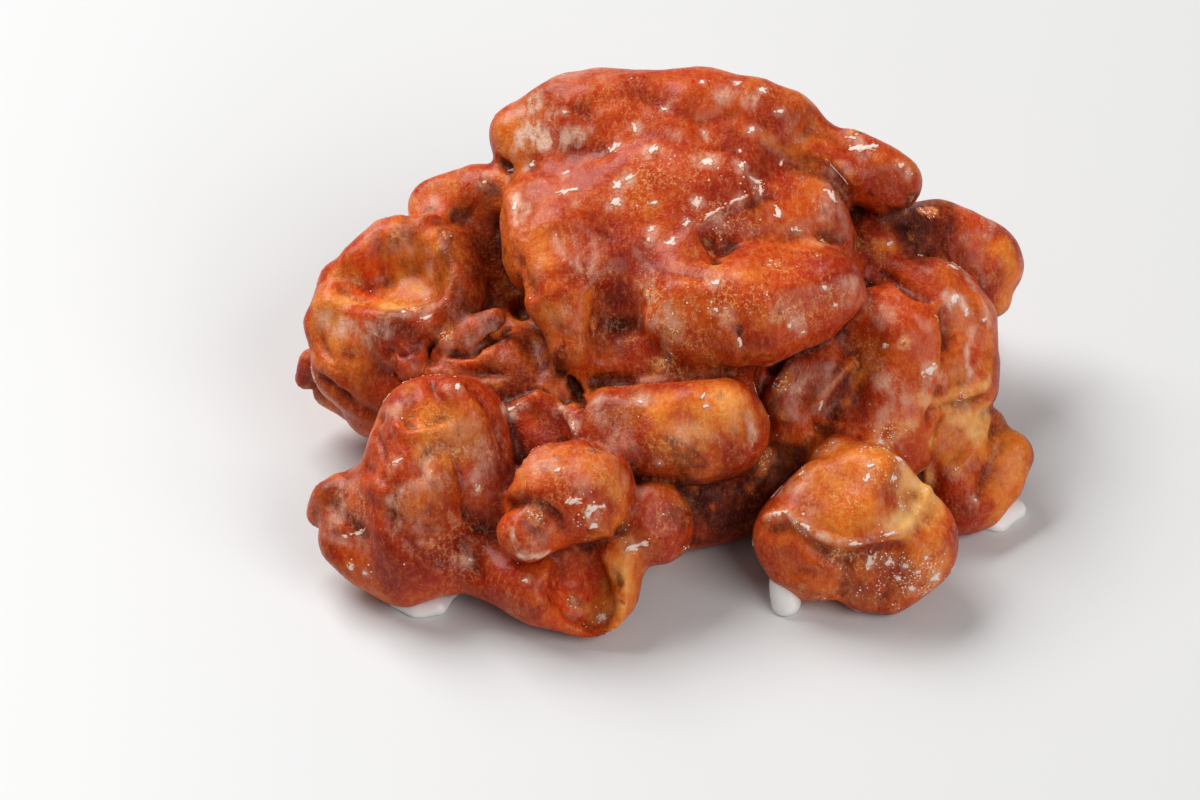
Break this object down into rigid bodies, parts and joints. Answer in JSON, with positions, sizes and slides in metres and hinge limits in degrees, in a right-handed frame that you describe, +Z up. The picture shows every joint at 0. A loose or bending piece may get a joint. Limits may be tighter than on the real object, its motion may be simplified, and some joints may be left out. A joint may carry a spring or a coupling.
{
  "type": "apple fritter",
  "caption": "Apple fritter: an irregular mound of fried dough knobs and folds grown together, browned and thinly glazed.",
  "frame": {"origin": "middle of the footprint, on the surface that the fritter rests on", "axes": "+Z up; X along the long side; -Y towards the side that faces the camera in the picture"},
  "size_m": [0.1308, 0.1027, 0.0605],
  "materials": {
    "crust": "satin"
  },
  "bodies": {
    "root": {"fritter": "crust"}
  },
  "joints": []
}
